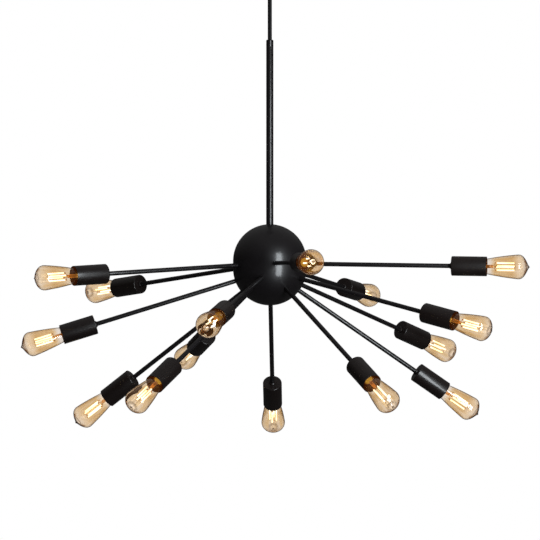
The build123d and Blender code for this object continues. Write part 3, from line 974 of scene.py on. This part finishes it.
KEPT = {
    BLACK: ["canopy", "canopy_screws", "ball_upper_shell", "ball_lower_shell", "stem_cap", "stem_set_screw"],
    PLASTIC: ["cord_grip"],
    WHITE: ["terminal_block", "wiring_connector"],
    SHEATH: ["cable_tail", "stem_lead", "arm_leads"],
    ZINC: ["ceiling_bracket", "cord_grip_nut", "cable_ferrule", "ball_bridge", "arm_nuts"],
}
for finish, names in KEPT.items():
    for name in names:
        node = frame["nodes"][name]
        node.data.materials.clear()
        node.data.materials.append(finish)


# Suspension cable, taut from the ferrule up to the middle of its rounded end in the cord grip

cable_low, cable_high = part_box("suspension_cable")
cable_foot = Vector((0, 0, cable_low.z))
cable_top = Vector((0, 0, cable_high.z - CABLE_D / 2 * MM))
route = [cable_foot.lerp(cable_top, step / (CABLE_POINTS - 1)) for step in range(CABLE_POINTS)]
line = bpy.data.curves.new("suspension_cable_line", "CURVE")
line.dimensions = "3D"
spline = line.splines.new("NURBS")
spline.points.add(len(route) - 1)
for point, spot in zip(spline.points, route):
    point.co = (*spot, 1)
spline.order_u = 3
spline.use_endpoint_u = True
line.bevel_depth = CABLE_D / 2 * MM
line.bevel_resolution = 8
line.use_fill_caps = True
line.materials.append(SHEATH)
cable = set_piece("suspension_cable_sheath", line, "cable", "suspension_cable")


# Studio, in metres: floor, world, lamps and camera

FLOOR_Z = -4.5
FLOOR_HALF = 60.0
FLOOR_TONE = (0.86, 0.86, 0.86)
FLOOR_GLOW = 0.85           # share of plain white in what is seen of the floor
FLOOR_MIRRORED = 0.042      # the floor as metal and glass mirror it
WORLD_LIGHT = 0.4           # what the world adds to the lamps
ROOM_RISE = (0.1, 0.9)      # from eye level to overhead, as the height of a direction
ROOM_LEVEL = 0.014
ROOM_TOP = 0.24
BALL = Vector((0, 0, -0.5795))
VIEW_DISTANCE = 7.828
VIEW_RISE = radians(4.75)
VIEW_END = 200
AIM_BELOW = 0.0102          # where the camera looks, from the middle of the ball
AIM_RIGHT = 0.0004
LENS = 266.7
COOL = (0.90, 0.96, 1.0)


def seen_through(tree):
    """Masks of the rays that show the background mirrored, and straight or through clear glass."""
    ray = tree.nodes.new("ShaderNodeLightPath").outputs
    straight = maths(tree, "MAXIMUM", ray["Is Camera Ray"], ray["Is Transmission Ray"])
    mirrored = maths(tree, "MINIMUM", ray["Glossy Depth"], 1)
    shown = maths(tree, "SUBTRACT", straight, mirrored, clamp=True)
    return mirrored, shown


def white_world():
    """White background; the room that the metal mirrors is pale overhead and dim at eye level."""
    world = bpy.data.worlds.new("studio")
    bpy.context.scene.world = world
    world.use_nodes = True
    tree = world.node_tree
    background = tree.nodes["Background"]
    background.inputs["Color"].default_value = (1, 1, 1, 1)
    mirrored, shown = seen_through(tree)
    split = tree.nodes.new("ShaderNodeSeparateXYZ")
    direction = tree.nodes.new("ShaderNodeTexCoord").outputs["Generated"]
    tree.links.new(direction, split.inputs["Vector"])
    room = spread(tree, split.outputs["Z"], ROOM_RISE, (ROOM_LEVEL, ROOM_TOP))
    light = blend(tree, mirrored, WORLD_LIGHT, room, "FLOAT")
    feed(tree, blend(tree, shown, light, 1, "FLOAT"), background.inputs["Strength"])


def pale_floor():
    """Plain pale floor that keeps a little of the light and shade, and that hides nothing from below."""
    mesh = bpy.data.meshes.new("floor")
    corners = [(x * FLOOR_HALF, y * FLOOR_HALF, FLOOR_Z) for x, y in ((-1, -1), (1, -1), (1, 1), (-1, 1))]
    mesh.from_pydata(corners, [], [(0, 1, 2, 3)])
    floor = bpy.data.objects.new("floor", mesh)
    bpy.context.scene.collection.objects.link(floor)
    finish, tree, shader = new_material("pale_floor", {"Base Color": FLOOR_TONE, "Roughness": 0.9})
    mirrored, shown = seen_through(tree)
    dim = tree.nodes.new("ShaderNodeEmission")
    dim.inputs["Strength"].default_value = FLOOR_MIRRORED
    lit = mix_shaders(tree, mirrored, shader.outputs["BSDF"], dim.outputs["Emission"])
    glow = tree.nodes.new("ShaderNodeEmission").outputs["Emission"]
    top_side = mix_shaders(tree, maths(tree, "MULTIPLY", shown, FLOOR_GLOW), lit, glow)
    underside = tree.nodes.new("ShaderNodeNewGeometry").outputs["Backfacing"]
    nothing = tree.nodes.new("ShaderNodeBsdfTransparent").outputs["BSDF"]
    one_sided = mix_shaders(tree, underside, top_side, nothing)
    tree.links.new(one_sided, tree.nodes["Material Output"].inputs["Surface"])
    mesh.materials.append(finish)


def soft_lamp(name, place, width, height, power, colour=(1, 1, 1), mirrored=True):
    """A rectangular soft box that faces the ball and isn't seen through glass. One that isn't mirrored
    gives no highlights."""
    light = bpy.data.lights.new(name, "AREA")
    light.color = colour
    light.shape = "RECTANGLE"
    light.size = width
    light.size_y = height
    light.energy = power
    lamp = bpy.data.objects.new(name, light)
    bpy.context.scene.collection.objects.link(lamp)
    lamp.visible_glossy = mirrored
    lamp.visible_transmission = False
    lamp.location = place
    lamp.rotation_euler = (BALL - Vector(place)).to_track_quat("-Z", "Y").to_euler()


def photo_camera():
    """Long lens a little below the ball, looking up at it."""
    data = bpy.data.cameras.new("photo_camera")
    data.lens = LENS
    data.clip_end = VIEW_END
    camera = bpy.data.objects.new("photo_camera", data)
    bpy.context.scene.collection.objects.link(camera)
    forward = Vector((0, cos(VIEW_RISE), sin(VIEW_RISE)))
    upward = Vector((0, -sin(VIEW_RISE), cos(VIEW_RISE)))
    camera.location = BALL - forward * VIEW_DISTANCE
    aim = BALL - upward * AIM_BELOW + Vector((AIM_RIGHT, 0, 0))
    camera.rotation_euler = (aim - camera.location).to_track_quat("-Z", "Y").to_euler()
    bpy.context.scene.camera = camera


white_world()
pale_floor()
soft_lamp("right_box", (1.24, -2.24, -0.72), width=0.8, height=2.2, power=105, colour=COOL)
soft_lamp("left_wash", (-3.2, -1.4, 0.4), width=3.0, height=3.0, power=8, mirrored=False)
soft_lamp("back_wash", (-1.8, 2.8, 0.6), width=2.4, height=2.4, power=24, mirrored=False)
soft_lamp("top_wash", (0.2, 0.3, 2.6), width=4.0, height=4.0, power=60, mirrored=False)
photo_camera()
bpy.context.scene.view_settings.view_transform = "Standard"
